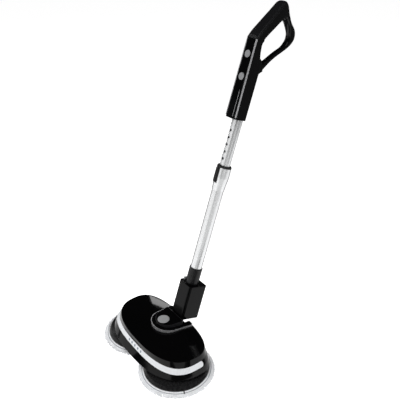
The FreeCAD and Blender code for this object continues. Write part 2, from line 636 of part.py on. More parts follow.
# the grip and the loop are one rounded bar: outer point, inner point, half-width and squareness of each section along it
BAR = [((-HF - 3.0, 721), (2.0, 714), 19.5, 5.0), ((-HF - 1.2, 730), (0.6, 724.0), 18.9, 5.0), ((-HF + 2.0, 738.6), (0.2, 729.8), 17.9, 5.0),
       ((-20.4, 747.6), (3.0, 735.2), 17.4, 5.0), ((-11.7, 761.1), (10.9, 745.7), 16.9, 5.0), ((1.5, 781.1), (26.2, 764.3), 16.1, 5.0),
       ((13.7, 799.4), (40.4, 781.4), 15.3, 4.8), ((23.4, 814.8), (47.0, 786.4), 14.8, 4.6), ((31.5, 825.0), (51.0, 788.3), 14.4, 4.2),
       ((39.8, 827.6), (54.0, 789.2), 14.0, 3.8), ((48.6, 821.4), (56.2, 788.9), 13.5, 3.6), ((57.4, 808.4), (58.6, 787.2), 13.0, 3.4),
       ((65.8, 799.0), (61.2, 785.4), 12.3, 3.2), ((74.0, 791.2), (65.2, 782.0), 11.2, 2.8), ((88.5, 780.4), (75.0, 771.2), 10.4, 2.8),
       ((99.0, 772.0), (80.8, 763.0), 9.8, 2.8), ((104.2, 761.5), (83.2, 757.0), 9.4, 2.8), ((104.4, 750.0), (83.8, 747.8), 9.1, 2.8),
       ((99.0, 738.8), (82.0, 740.2), 8.9, 2.8), ((90.5, 728.6), (77.2, 730.6), 8.6, 2.8), ((70.8, 711.0), (64.0, 718.2), 8.2, 2.8),
       ((46.4, 687.2), (39.0, 695.2), 8.0, 2.8), ((36.2, 673.8), (26.8, 684.4), 7.9, 3.0), ((28.0, 661.8), (18.5, 681.6), 7.8, 3.2),
       ((19.0, 650.0), (9.0, 679.0), 7.8, 3.2)]


def bar(inset=0.0):
    wires = []
    for (y0, z0), (y1, z1), half, power in BAR:
        mid = Vector(0, (y0 + y1) / 2, (z0 + z1) / 2)
        out = Vector(0, (y0 - y1) / 2, (z0 - z1) / 2)
        out = out * ((out.Length - inset) / out.Length)
        pts = []
        for k in range(32):
            t = 2 * math.pi * (k + 0.5) / 32
            c, q = math.cos(t), math.sin(t)
            pts.append(mid + out * (math.copysign(abs(c) ** (2 / power), c)) + Vector((half - inset) * math.copysign(abs(q) ** (2 / power), q), 0, 0))
        curve = Part.BSplineCurve()
        curve.interpolate(Points=pts + pts[:1], Parameters=[k / 32 for k in range(33)])
        wires.append(Part.Wire(curve.toShape()))
    return Part.makeLoft(wires, True, False)


round_bar = bar()
print("bar", round_bar.isValid(), round_bar.Volume)
def bounded(shape, inset=0.0):
    """The shape, with its part above the elbow kept to the rounded bar."""
    low, high = box(-60, 60, -100, 200, 500, 731), box(-60, 60, -100, 200, 731, 900)
    return shape.common(low).fuse(shape.common(high).common(bar(inset))).removeSplitter()


shell_solid = bounded(tapered(SHELL).common(rear_rounding(0.0)))
cavity = bounded(tapered(SHELL, 2.6, 2.3).common(rear_rounding(2.0)), 2.3)
hollow = shell_solid.cut(cavity).cut(cyl(V["inner_rad"] + 0.02, 77, 0, 0, H0 - 5))
for z in (556.0, 620.0):
    rib = box(-15.2, 15.2, -HF + 5.0, HB - 6.0, z, z + 3.0).cut(cyl(V["inner_rad"], 10, 0, 0, z - 2))
    hollow = hollow.fuse(rib)
SCREW_AT = ((-1.0, 668.0), (1.0, 752.0))
for y, z in SCREW_AT:
    boss = cyl(4.4, 31, -15.5, y, z, AX).common(shell_solid)
    hollow = hollow.fuse(boss).cut(cyl(1.6, 16, -7, y, z, AX)).cut(cyl(2.9, 20, -26, y, z, AX))
KEYS = (641.0, 693.5)
KR = 8.7
for z in KEYS:
    hollow = hollow.cut(cyl(KR + 0.5, 4.6, 0, -HF + 2.0, z, AY))
formed("handle_shell_right", STICK, hollow.common(box(0, 60, -100, 200, 500, 900)))
formed("handle_shell_left", STICK, hollow.common(box(-60, 0, -100, 200, 500, 900)))

FRONT = [(-HF, H0), (-HF + 3.4, H0), (-HF + 3.4, 722), (-HF + 4.6, 728), (-HF + 0.9, 729.5), (-HF, 722)]
front = tapered(FRONT, 2.2)
front = round_over(front, 1.6, lambda e: on_side(e) and e.CenterOfMass.y < -HF + 0.3 and e.CenterOfMass.z < 723)
for z in KEYS:
    front = front.cut(cyl(KR + 0.35, 20, 0, -40, z, AY))
formed("handle_front_cover", STICK, front)
for name, z in zip(("lower_key", "upper_key"), KEYS):
    key = cyl(KR, 3.6, 0, -HF - 0.9, z, AY)
    key = key.makeFillet(1.1, [e for e in key.Edges if abs(e.CenterOfMass.y - (-HF - 0.9)) < 1e-6])
    formed(name, STICK, key)
    switch = box(-3.0, 3.0, -HF + 4.6, -HF + 5.9, z - 3.0, z + 3.0).fuse(cyl(1.7, 1.3, 0, -HF + 3.7, z, AY))
    formed(name + "_switch", STICK, switch.removeSplitter())
formed("handle_board", STICK, box(-9, 9, -HF + 5.9, -HF + 7.5, 625.0, 710.0))

# bright trim strips set in the two front corners, wider towards the top
def strip(s):
    pts = [(-HF + 0.6, 545), (-HF + 3.4, 545), (-HF + 3.4, 722), (-HF + 4.4, 727.9), (-HF + 0.9, 729.3),
           (-HF + 0.4, 722)]
    full = tapered(pts, -0.25)
    core = tapered(pts, 2.2)
    half = full.cut(core).common(box(0, 60, -100, 200, 500, 900) if s > 0 else box(-60, 0, -100, 200, 500, 900))
    return half


for name, s in (("trim_strip_left", -1), ("trim_strip_right", 1)):
    formed(name, STICK, strip(s))

# grip: soft cover over the outside of the sloping bar
GRIP = [(-HF + 0.9, 729.7), (-HF + 4.5, 728.2), (-HF + 5.9, 731), (-15.0, 743.2), (33.6, 814.8), (37.6, 818.8), (42.5, 817.6),
        (48, 811), (54.3, 816.7), (49.0, 826.0), (40.4, 830.2), (30.8, 828.4), (25.4, 821.0), (-21.6, 748.4), (-HF + 1.4, 738.4)]
grip = tapered(GRIP, 0.0).common(round_bar)
formed("grip_cover", STICK, grip)

# the part of the bar behind the window
LOOP = [(54.5, 784.5), (63.5, 805.3), (80, 812), (120, 780), (120, 735), (60, 675), (40, 645), (36.6, 645), (11.8, 698.2), (50, 725), (65, 745), (60, 770)]
loop = round_bar.common(plate_x(LOOP, 20))
formed("handle_loop", STICK, loop)
formed("handle_screws", STICK, Part.makeCompound(
    [cyl(1.6, 13.4, -6.1, y, z, AX).fuse(cyl(2.7, 1.8, -7.8, y, z, AX)).removeSplitter() for y, z in SCREW_AT]))

# ---------------------------------------------------------------- checks, then one file per piece
doc.recompute()
for obj in doc.Objects:
    state = list(obj.State)
    if "Invalid" in state or "Error" in state:
        raise RuntimeError("%s failed: %s" % (obj.Label, state))
os.makedirs("parts", exist_ok=True)
total = FreeCAD.BoundBox()
for piece in pieces:
    shape = piece.Shape
    if shape.isNull() or not shape.isValid() or not shape.Solids or shape.Volume < 1:
        raise RuntimeError("%s has no sound shape" % piece.Label)
    total.add(shape.BoundBox)
    shape.exportStep("parts/%s.step" % piece.Label)
    print("%-22s solids %d volume %9.1f mm3" % (piece.Label, len(shape.Solids), shape.Volume))
print("pieces", len(pieces))
print("box", [round(v, 2) for v in (total.XMin, total.XMax, total.YMin, total.YMax, total.ZMin, total.ZMax)])
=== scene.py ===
import json
import math
import random

import bmesh
import bpy
from mathutils import Matrix, Vector, noise


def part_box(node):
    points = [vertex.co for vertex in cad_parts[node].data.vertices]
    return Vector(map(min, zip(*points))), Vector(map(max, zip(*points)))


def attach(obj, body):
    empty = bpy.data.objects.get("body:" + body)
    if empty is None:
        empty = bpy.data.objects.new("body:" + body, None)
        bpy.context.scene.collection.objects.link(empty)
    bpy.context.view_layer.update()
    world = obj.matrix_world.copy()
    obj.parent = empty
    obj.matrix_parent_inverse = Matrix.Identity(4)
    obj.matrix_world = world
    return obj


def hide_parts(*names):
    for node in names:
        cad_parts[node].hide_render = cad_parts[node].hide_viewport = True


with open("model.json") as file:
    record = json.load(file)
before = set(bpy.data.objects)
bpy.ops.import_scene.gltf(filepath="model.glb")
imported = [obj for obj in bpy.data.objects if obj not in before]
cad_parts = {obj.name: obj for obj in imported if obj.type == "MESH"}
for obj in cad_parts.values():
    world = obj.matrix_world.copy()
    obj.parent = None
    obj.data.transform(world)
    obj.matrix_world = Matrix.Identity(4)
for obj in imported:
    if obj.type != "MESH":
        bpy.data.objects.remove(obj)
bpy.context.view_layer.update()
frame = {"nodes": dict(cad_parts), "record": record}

NODES = frame["nodes"]
LEAN = math.radians(18.33)
ALONG = Vector((0, math.sin(LEAN), math.cos(LEAN)))       # up the tube
FRONT = Vector((0, -math.cos(LEAN), math.sin(LEAN)))      # out of the stick's front
YS = 0.16776
STICK = Vector((0, 0.0858 - YS, 0.080))


def stick(x, y, z):
    """A point given in the stick's own frame (millimetres) in the row frame (metres)."""
    return STICK + Vector((x / 1000, 0, 0)) - FRONT * (y / 1000) + ALONG * (z / 1000)


# ------------------------------------------------------------------ camera
AZ, EL = math.radians(53.252), math.radians(28.317)
back = Vector((math.sin(AZ) * math.cos(EL), -math.cos(AZ) * math.cos(EL), math.sin(EL)))
right = Vector((math.cos(AZ), math.sin(AZ), 0))
up = back.cross(right)
cam_data = bpy.data.cameras.new("view")
cam_data.sensor_width = 36.0
cam_data.lens = 48.6
cam_data.clip_end = 100
camera = bpy.data.objects.new("view", cam_data)
place = Matrix((right, up, back)).transposed().to_4x4()
place.translation = Vector((0.939107, -0.559232 - YS, 1.039399))
camera.matrix_world = place
bpy.context.scene.collection.objects.link(camera)
bpy.context.scene.camera = camera
bpy.context.scene.view_settings.view_transform = "Standard"


# ------------------------------------------------------------------ material helpers
class Tree:
    """Short names for building one material's node tree."""

    def __init__(self, name):
        self.mat = bpy.data.materials.new(name)
        self.mat.use_nodes = True
        self.t = self.mat.node_tree
        self.t.nodes.clear()
        self.out = self.t.nodes.new("ShaderNodeOutputMaterial")
        self.p = self.t.nodes.new("ShaderNodeBsdfPrincipled")
        self.t.links.new(self.p.outputs[0], self.out.inputs[0])
        self.coord = self.t.nodes.new("ShaderNodeTexCoord").outputs["Object"]

    def link(self, a, b):
        self.t.links.new(a, b)

    def new(self, kind, **props):
        node = self.t.nodes.new(kind)
        for key, value in props.items():
            setattr(node, key, value)
        return node

    def noise(self, scale, detail=3.0, rough=0.55, stretch=None, coord=None):
        coord = coord or self.coord
        if stretch:
            m = self.new("ShaderNodeMapping")
            m.inputs["Scale"].default_value = stretch
            self.link(coord, m.inputs["Vector"])
            coord = m.outputs[0]
        n = self.new("ShaderNodeTexNoise")
        n.inputs["Scale"].default_value = scale
        n.inputs["Detail"].default_value = detail
        n.inputs["Roughness"].default_value = rough
        self.link(coord, n.inputs["Vector"])
        return n.outputs["Fac"]

    def cells(self, scale, coord=None, feature="F1"):
        n = self.new("ShaderNodeTexVoronoi", feature=feature)
        n.inputs["Scale"].default_value = scale
        self.link(coord or self.coord, n.inputs["Vector"])
        return n.outputs["Distance"]

    def span(self, value, a0, a1, b0, b1, smooth=False):
        n = self.new("ShaderNodeMapRange")
        if smooth:
            n.interpolation_type = "SMOOTHSTEP"
        for i, v in enumerate((a0, a1, b0, b1), start=1):
            n.inputs[i].default_value = v
        self.link(value, n.inputs[0])
        return n.outputs[0]

    def math(self, op, a, b=None, clamp=False):
        n = self.new("ShaderNodeMath", operation=op, use_clamp=clamp)
        for i, v in enumerate((a, b)):
            if v is None:
                continue
            if isinstance(v, (int, float)):
                n.inputs[i].default_value = v
            else:
                self.link(v, n.inputs[i])
        return n.outputs[0]

    def mix(self, fac, a, b):
        n = self.new("ShaderNodeMix", data_type="RGBA")
        if isinstance(fac, (int, float)):
            n.inputs["Factor"].default_value = fac
        else:
            self.link(fac, n.inputs["Factor"])
        for key, v in (("A", a), ("B", b)):
            slot = [s for s in n.inputs if s.name == key and s.type == "RGBA"][0]
            if isinstance(v, tuple):
                slot.default_value = (*v, 1.0) if len(v) == 3 else v
            else:
                self.link(v, slot)
        return [s for s in n.outputs if s.type == "RGBA"][0]

    def bump(self, height, strength, distance=0.001, normal=None):
        n = self.new("ShaderNodeBump")
        n.inputs["Strength"].default_value = strength
        n.inputs["Distance"].default_value = distance
        self.link(height, n.inputs["Height"])
        if normal is not None:
            self.link(normal, n.inputs["Normal"])
        return n.outputs[0]

    def rounded(self, radius):
        n = self.new("ShaderNodeBevel", samples=4)
        n.inputs["Radius"].default_value = radius
        return n.outputs[0]

    def edge_wear(self, radius=0.0012):
        """1 along sharp edges, 0 on flat faces."""
        geo = self.new("ShaderNodeNewGeometry")
        dot = self.new("ShaderNodeVectorMath", operation="DOT_PRODUCT")
        self.link(self.rounded(radius), dot.inputs[0])
        self.link(geo.outputs["Normal"], dot.inputs[1])
        return self.span(dot.outputs["Value"], 0.80, 0.995, 1.0, 0.0)

    def set(self, **values):
        for key, value in values.items():
            socket = self.p.inputs[key.replace("_", " ")]
            if isinstance(value, (int, float, tuple)):
                socket.default_value = value
            else:
                self.link(value, socket)


def gloss(name, dark, light, rough=0.10, edge=0.0009, texture=0.02, spec=0.5):
    """Moulded glossy plastic: faint flow shading, fine polishing haze, small rounded edges."""
    m = Tree(name)
    flow = m.noise(9.0, 2.0)
    specks = m.span(m.noise(1500.0, 2.0), 0.62, 0.72, 0.0, 1.0)
    wear = m.edge_wear(0.0010)
    wear = m.math("MULTIPLY", wear, m.span(m.noise(220.0, 4.0), 0.45, 0.62, 0.0, 0.6))
    base = m.mix(flow, dark, light)
    base = m.mix(m.math("MULTIPLY", specks, 0.25), base, tuple(min(1.0, c * 2.2 + 0.004) for c in light))
    base = m.mix(wear, base, tuple(min(1.0, c * 2.5 + 0.01) for c in light))
    haze = m.noise(160.0, 5.0, 0.65)
    swirl = m.noise(700.0, 2.0, stretch=(1.0, 0.12, 1.0))
    r = m.math("ADD", m.span(haze, 0.3, 0.75, rough * 0.8, rough * 1.35), m.span(swirl, 0.5, 0.8, 0.0, 0.05))
    r = m.math("ADD", r, m.math("MULTIPLY", wear, 0.15))
    normal = m.bump(m.noise(320.0, 2.0), texture, 0.0004, m.rounded(edge))
    m.set(Base_Color=base, Roughness=r, Normal=normal)
    m.p.inputs["Specular IOR Level"].default_value = spec
    return m.mat


def satin(name, dark, light, rough=0.42, edge=0.0007, grain=0.35, spec=0.4):
    """Moulded satin plastic with a fine spark-eroded grain."""
    m = Tree(name)
    flow = m.noise(14.0, 3.0)
    grains = m.cells(2600.0)
    wear = m.edge_wear(0.0009)
    wear = m.math("MULTIPLY", wear, m.span(m.noise(260.0, 4.0), 0.4, 0.65, 0.0, 0.8))
    base = m.mix(flow, dark, light)
    base = m.mix(m.span(grains, 0.1, 0.5, 0.18, 0.0), base, dark)
    base = m.mix(wear, base, tuple(min(1.0, c * 1.5 + 0.03) for c in light))
    r = m.span(m.noise(120.0, 4.0), 0.3, 0.7, rough - 0.06, rough + 0.08)
    normal = m.bump(grains, grain, 0.00012, m.rounded(edge))
    m.set(Base_Color=base, Roughness=r, Normal=normal)
    m.p.inputs["Specular IOR Level"].default_value = spec
    return m.mat


def metal(name, dark, light, rough, streak=(1.0, 1.0, 1.0), scale=900.0, edge=0.0004, depth=0.05, aniso=0.0, solid=0.0):
    """Metal with drawn or brushed lines along one direction."""
    m = Tree(name)
    turn = m.new("ShaderNodeMapping", vector_type="TEXTURE")
    turn.inputs["Rotation"].default_value = (-LEAN, 0, 0) if streak[2] != 1.0 else (0, 0, 0)
    m.link(m.coord, turn.inputs["Vector"])
    lines = m.noise(scale, 3.0, 0.6, streak, turn.outputs[0])
    cloud = m.noise(30.0, 3.0, 0.5)
    base = m.mix(lines, dark, light)
    base = m.mix(m.span(cloud, 0.35, 0.7, 0.0, 0.18), base, tuple(c * 0.86 for c in dark))
    r = m.math("ADD", m.span(lines, 0.3, 0.7, rough - 0.04, rough + 0.05), m.span(cloud, 0.4, 0.7, 0.0, 0.05))
    normal = m.bump(lines, depth, 0.00015, m.rounded(edge))
    m.set(Base_Color=base, Roughness=r, Normal=normal, Metallic=1.0 - solid)
    m.p.inputs["Anisotropic"].default_value = aniso
    return m.mat


def rubber(name, dark, light):
    m = Tree(name)
    cloud = m.noise(60.0, 4.0)
    dust = m.span(m.noise(900.0, 3.0), 0.6, 0.75, 0.0, 0.35)
    base = m.mix(dust, m.mix(cloud, dark, light), tuple(c * 2.5 for c in light))
    m.set(Base_Color=base, Roughness=m.span(cloud, 0.3, 0.7, 0.7, 0.9), Normal=m.bump(m.cells(1800.0), 0.3, 0.0002, m.rounded(0.0005)))
    return m.mat


def board(name):
    """Circuit board: green mask over copper tracks."""
    m = Tree(name)
    brick = m.new("ShaderNodeTexBrick")
    brick.inputs["Scale"].default_value = 160.0
    brick.inputs["Mortar Size"].default_value = 0.03
    brick.inputs["Color1"].default_value = (0.01, 0.12, 0.05, 1)
    brick.inputs["Color2"].default_value = (0.012, 0.10, 0.04, 1)
    brick.inputs["Mortar"].default_value = (0.02, 0.24, 0.09, 1)
    m.link(m.coord, brick.inputs["Vector"])
    pads = m.span(m.cells(420.0), 0.10, 0.16, 1.0, 0.0)
    base = m.mix(pads, brick.outputs["Color"], (0.75, 0.62, 0.35))
    m.set(Base_Color=base, Roughness=m.span(m.noise(300.0), 0.3, 0.7, 0.25, 0.4), Metallic=m.math("MULTIPLY", pads, 0.8))
    return m.mat


def wrap(name):
    m = Tree(name)
    cloud = m.noise(80.0, 3.0)
    m.set(Base_Color=m.mix(cloud, (0.02, 0.10, 0.30), (0.03, 0.14, 0.38)), Roughness=m.span(cloud, 0.3, 0.7, 0.22, 0.35),
          Normal=m.bump(m.noise(400.0, 2.0), 0.1, 0.0003))
    return m.mat


def hook_tape(name):
    m = Tree(name)
    hooks = m.cells(900.0)
    m.set(Base_Color=m.mix(m.span(hooks, 0.1, 0.5, 1.0, 0.0), (0.02, 0.02, 0.022), (0.07, 0.07, 0.075)), Roughness=0.8,
          Normal=m.bump(hooks, 0.8, 0.0008))
    return m.mat


M = {
    "gloss_black": gloss("gloss_black", (0.0008, 0.0008, 0.0009), (0.0018, 0.0018, 0.002), 0.06, spec=0.28),
    "gloss_box": gloss("gloss_box", (0.0008, 0.0008, 0.0009), (0.0016, 0.0016, 0.0018), 0.08, spec=0.13),
    "ring": metal("ring", (0.018, 0.018, 0.02), (0.03, 0.03, 0.032), 0.30, (1, 1, 1), 500.0, solid=0.5),
    "charcoal": satin("charcoal", (0.004, 0.004, 0.0045), (0.007, 0.007, 0.0075), 0.25, spec=0.28),
    "disc_black": satin("disc_black", (0.008, 0.008, 0.0083), (0.012, 0.012, 0.0125), 0.26, grain=0.08, spec=0.34),
    "dark_chrome": metal("dark_chrome", (0.46, 0.46, 0.47), (0.58, 0.58, 0.59), 0.24, (1, 1, 1), 500.0, solid=0.35),
    "light_grey": satin("light_grey", (0.27, 0.275, 0.28), (0.32, 0.325, 0.33), 0.38),
    "key_grey": satin("key_grey", (0.15, 0.153, 0.157), (0.19, 0.193, 0.197), 0.40),
    "tube_alu": metal("tube_alu", (0.86, 0.87, 0.88), (0.93, 0.935, 0.94), 0.25, (1, 1, 0.02), 1800.0, solid=0.15),
    "cast_alu": metal("cast_alu", (0.50, 0.51, 0.52), (0.60, 0.61, 0.62), 0.42, (1, 1, 1), 260.0, depth=0.35),
    "steel": metal("steel", (0.45, 0.45, 0.46), (0.62, 0.62, 0.63), 0.28, (1, 1, 1), 900.0),
    "bronze": metal("bronze", (0.45, 0.28, 0.13), (0.58, 0.38, 0.19), 0.35, (1, 1, 1), 700.0),
    "seal_rubber": rubber("seal_rubber", (0.008, 0.008, 0.008), (0.016, 0.016, 0.016)),
    "board_green": board("board_green"),
    "cell_wrap": wrap("cell_wrap"),
    "hook_tape": hook_tape("hook_tape"),
}

slots = {e["node"]: e["material_slot"] for e in frame["record"]["subparts"]}


def dress(node, mat):
    mats = NODES[node].data.materials
    mats.clear()
    mats.append(mat)


for node, obj in NODES.items():
    name = slots.get(node, "charcoal")
    dress(node, M.get(name, M["charcoal"]))
for node in ("left_disc", "right_disc"):
    dress(node, M["disc_black"])
dress("head_skirt", M["gloss_black"])
for node in ("box_front_cover", "box_housing", "battery_pack_case"):
    dress(node, M["gloss_box"])
dress("plinth_ring", M["ring"])
dress("handle_loop", M["gloss_black"])
for node in ("lower_key", "upper_key"):
    dress(node, M["key_grey"])


# light strip: frosted ribbed lens with a faint painted glow over its face; the lamps behind it are unlit
def lens_material():
    m = Tree("lens")
    cloud = m.noise(40.0, 3.0)
    xyz = m.new("ShaderNodeSeparateXYZ")
    m.link(m.coord, xyz.inputs[0])
    # distance along the strip: straight in the middle, then round the casing's ends
    ax = m.math("ABSOLUTE", xyz.outputs["X"])
    turn = m.math("ARCTAN2", m.math("MAXIMUM", m.math("SUBTRACT", ax, 0.085), 0.0),
                  m.math("MAXIMUM", m.math("MULTIPLY", m.math("ADD", xyz.outputs["Y"], YS), -1.0), 0.002))
    along = m.math("ADD", m.math("MINIMUM", ax, 0.085), m.math("MULTIPLY", turn, 0.075))
    rib = m.math("SINE", m.math("MULTIPLY", along, 2 * math.pi / 0.0042))
    base = m.mix(cloud, (0.60, 0.61, 0.62), (0.68, 0.69, 0.70))
    # painted shade: the lens colour darkens with the phase of each rib's wave, beside the rib bump
    base = m.mix(m.span(rib, -1.0, 1.0, 0.0, 0.42), base, (0.40, 0.41, 0.43))
    # the five lamps behind the lens show as small bluish spots
    cell = m.math("MULTIPLY", m.math("SUBTRACT", m.math("FRACT", m.math("ADD", m.math("DIVIDE", xyz.outputs["X"], 0.014), 0.5)), 0.5), 0.014)
    dz = m.math("SUBTRACT", xyz.outputs["Z"], LAMP_Z)
    far = m.math("SQRT", m.math("ADD", m.math("MULTIPLY", cell, cell), m.math("MULTIPLY", dz, dz)))
    spot = m.math("MULTIPLY", m.span(far, 0.0022, 0.0036, 1.0, 0.0, True), m.span(ax, 0.0325, 0.0340, 1.0, 0.0))
    base = m.mix(spot, base, (0.085, 0.115, 0.16))
    m.set(Base_Color=base, Roughness=m.span(m.noise(300.0), 0.3, 0.7, 0.25, 0.4),
          Normal=m.bump(rib, 0.35, 0.0003, m.bump(m.noise(600.0), 0.1, 0.0002, m.rounded(0.0004))))
    # painted glow: a faint even emission over the whole lens, not light from the lamps behind it
    m.p.inputs["Emission Color"].default_value = (0.9, 0.95, 1.0, 1)
    m.p.inputs["Emission Strength"].default_value = 0.10
    return m.mat


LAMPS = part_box("led_lamps")
LAMP_Z = (LAMPS[0][2] + LAMPS[1][2]) / 2
M["lens"] = lens_material()
dress("light_strip_lens", M["lens"])


def lamp_material():
    m = Tree("led_white")
    cloud = m.noise(900.0, 2.0)
    m.set(Base_Color=m.mix(cloud, (0.70, 0.76, 0.84), (0.80, 0.85, 0.92)), Roughness=m.span(cloud, 0.3, 0.7, 0.08, 0.16),
          Normal=m.bump(cloud, 0.05, 0.0001, m.rounded(0.0003)))
    return m.mat


M["led_white"] = lamp_material()
dress("led_lamps", M["led_white"])


def link(obj):
    bpy.context.scene.collection.objects.link(obj)
    return obj


def mesh_object(name, bm, mats, smooth=True, sharp=None):
    mesh = bpy.data.meshes.new(name)
    bmesh.ops.recalc_face_normals(bm, faces=bm.faces)
    bm.to_mesh(mesh)
    bm.free()
    for mat in mats:
        mesh.materials.append(mat)
    if smooth:
        mesh.polygons.foreach_set("use_smooth", [True] * len(mesh.polygons))
        if sharp is not None:
            mesh.set_sharp_from_angle(angle=math.radians(sharp))
    return link(bpy.data.objects.new(name, mesh))


# ------------------------------------------------------------------ mop pads
def cloth_material(name, base, shade_and_tone, scale=420.0):
    """Looped microfibre: short yarn loops with shaded gaps between them."""
    m = Tree(name)
    loops = m.cells(scale)
    yarn = m.noise(2600.0, 2.0)
    cloud = m.noise(45.0, 4.0)
    # painted shade: the gaps between the yarn loops are darkened toward the second colour; the yarn and cloud mixes
    # below darken it at random
    shade = m.span(loops, 0.20, 0.70, 0.0, 0.50)
    col = m.mix(shade, base, shade_and_tone)
    col = m.mix(m.span(yarn, 0.35, 0.7, 0.0, 0.25), col, shade_and_tone)
    col = m.mix(m.span(cloud, 0.42, 0.7, 0.0, 0.16), col, tuple(c * 0.8 for c in shade_and_tone))
    normal = m.bump(loops, 0.6, -0.0006, m.bump(yarn, 0.3, 0.0002))
    m.set(Base_Color=col, Roughness=m.span(cloud, 0.3, 0.7, 0.88, 0.97), Normal=normal)
    m.p.inputs["Sheen Weight"].default_value = 0.35
    m.p.inputs["Sheen Roughness"].default_value = 0.5
    m.p.inputs["Specular IOR Level"].default_value = 0.1
    m.p.inputs["Subsurface Weight"].default_value = 0.12
    m.p.inputs["Subsurface Radius"].default_value = (0.004, 0.004, 0.004)
    return m.mat


# each cloth's second colour is its painted shade tone between the loops, also used for random darker yarn
M["mop_cloth"] = cloth_material("mop_cloth", (0.93, 0.94, 0.95), (0.66, 0.67, 0.70))
M["fringe_yarn"] = cloth_material("fringe_yarn", (0.94, 0.95, 0.96), (0.72, 0.73, 0.76), 900.0)
M["binding"] = cloth_material("binding", (0.34, 0.35, 0.38), (0.19, 0.20, 0.23), 1200.0)
M["tab_tape"] = cloth_material("tab_tape", (0.13, 0.13, 0.14), (0.06, 0.06, 0.065), 1200.0)


def mop_pad(side, cx, seed):
    """Pad of looped pile with a bound edge and a fringe of soft yarns lying out over the floor."""
    rng = random.Random(seed)
    cy = -YS
    # body: rings from the centre of the top, over the crowned rim, to the centre underneath
    rings = [(0.030, 0.0086), (0.060, 0.0086), (0.078, 0.0087), (0.0825, 0.0088), (0.0850, 0.0087), (0.0870, 0.0081), (0.0886, 0.0070),
             (0.0896, 0.0054), (0.0894, 0.0036), (0.0884, 0.0020), (0.0866, 0.0009), (0.0840, 0.0004), (0.080, 0.0003), (0.072, 0.0003),
             (0.060, 0.0003), (0.045, 0.0003), (0.030, 0.0003), (0.015, 0.0003)]
    count = 240
    bm = bmesh.new()
    rows = []
    for r, z in rings:
        row = []
        for k in range(count):
            t = 2 * math.pi * k / count
            wob = noise.noise(Vector((math.cos(t) * 5 + seed, math.sin(t) * 5, r * 60))) * 0.0007
            pile = noise.noise(Vector((math.cos(t) * r * 900, math.sin(t) * r * 900, z * 900 + seed))) * 0.00045
            rr = r + (wob + pile if r > 0.083 else 0.0)
            zz = z + (pile * 0.8 if z > 0.002 and r > 0.083 else 0.0)
            row.append(bm.verts.new((cx + rr * math.cos(t), cy + rr * math.sin(t), zz)))
        rows.append(row)
    top = bm.verts.new((cx, cy, 0.0086))
    low = bm.verts.new((cx, cy, 0.0003))
    for a, b in zip(rows, rows[1:]):
        for k in range(count):
            bm.faces.new((a[k], a[(k + 1) % count], b[(k + 1) % count], b[k]))
    for k in range(count):
        bm.faces.new((top, rows[0][(k + 1) % count], rows[0][k]))
        bm.faces.new((low, rows[-1][k], rows[-1][(k + 1) % count]))
    pad = mesh_object(side + "_pad_cloth", bm, [M["mop_cloth"]])
    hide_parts(side + "_mop_pad")

    # edge binding: a piped ring with stitches
    bm = bmesh.new()
    seg, sec = 360, 8
    rows = []
    for k in range(seg):
        t = 2 * math.pi * k / seg
        pinch = 1.0 - 0.22 * (0.5 + 0.5 * math.cos(t * 90))
        row = []
        for j in range(sec):
            u = 2 * math.pi * j / sec
            r = 0.0885 + 0.0010 * pinch * math.cos(u)
            row.append(bm.verts.new((cx + r * math.cos(t), cy + r * math.sin(t), 0.0072 + 0.0009 * pinch * math.sin(u))))
        rows.append(row)
    for k in range(seg):
        a, b = rows[k], rows[(k + 1) % seg]
        for j in range(sec):
            bm.faces.new((a[j], a[(j + 1) % sec], b[(j + 1) % sec], b[j]))
    ring = mesh_object(side + "_pad_binding", bm, [M["binding"]])

    # fringe: rows of yarns, each a tapering tube that leaves the rim and droops to the floor
    bm = bmesh.new()
    for row_at, (count_y, reach, lift) in enumerate(((420, 0.0108, 0.0062), (380, 0.0118, 0.0036), (340, 0.0096, 0.0018))):
        for k in range(count_y):
            t0 = 2 * math.pi * (k + rng.random() * 0.8) / count_y
            out = reach * (0.86 + 0.22 * rng.random())
            swing = (rng.random() - 0.35) * 0.10
            width = 0.00062 + 0.00022 * rng.random()
            path = []
            for i in range(6):
                f = i / 5
                r = 0.0880 + out * f
                t = t0 + swing * f * f
                z = lift * (1 - f) ** 1.6 + 0.0009 + 0.0006 * rng.random() * f
                path.append(Vector((cx + r * math.cos(t), cy + r * math.sin(t), z)))
            ringv = []
            for i, p in enumerate(path):
                d = (path[min(i + 1, 5)] - path[max(i - 1, 0)]).normalized()
                side_v = d.cross(Vector((0, 0, 1))).normalized()
                up_v = side_v.cross(d)
                w = width * (1.0, 1.15, 1.2, 1.15, 0.95, 0.5)[i]
                ringv.append([bm.verts.new(p + side_v * (w * math.cos(a)) + up_v * (w * 0.85 * math.sin(a)))
                              for a in (0, math.tau / 5, 2 * math.tau / 5, 3 * math.tau / 5, 4 * math.tau / 5)])
            for a, b in zip(ringv, ringv[1:]):
                for j in range(5):
                    bm.faces.new((a[j], a[(j + 1) % 5], b[(j + 1) % 5], b[j]))
            bm.faces.new(ringv[0][::-1])
            bm.faces.new(ringv[-1])
    fringe = mesh_object(side + "_pad_fringe", bm, [M["fringe_yarn"]])
    for piece in (pad, ring, fringe):
        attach(piece, side + "_disc_set")
    return pad


G = 0.08955
mop_pad("left", -G, 11)
mop_pad("right", G, 23)


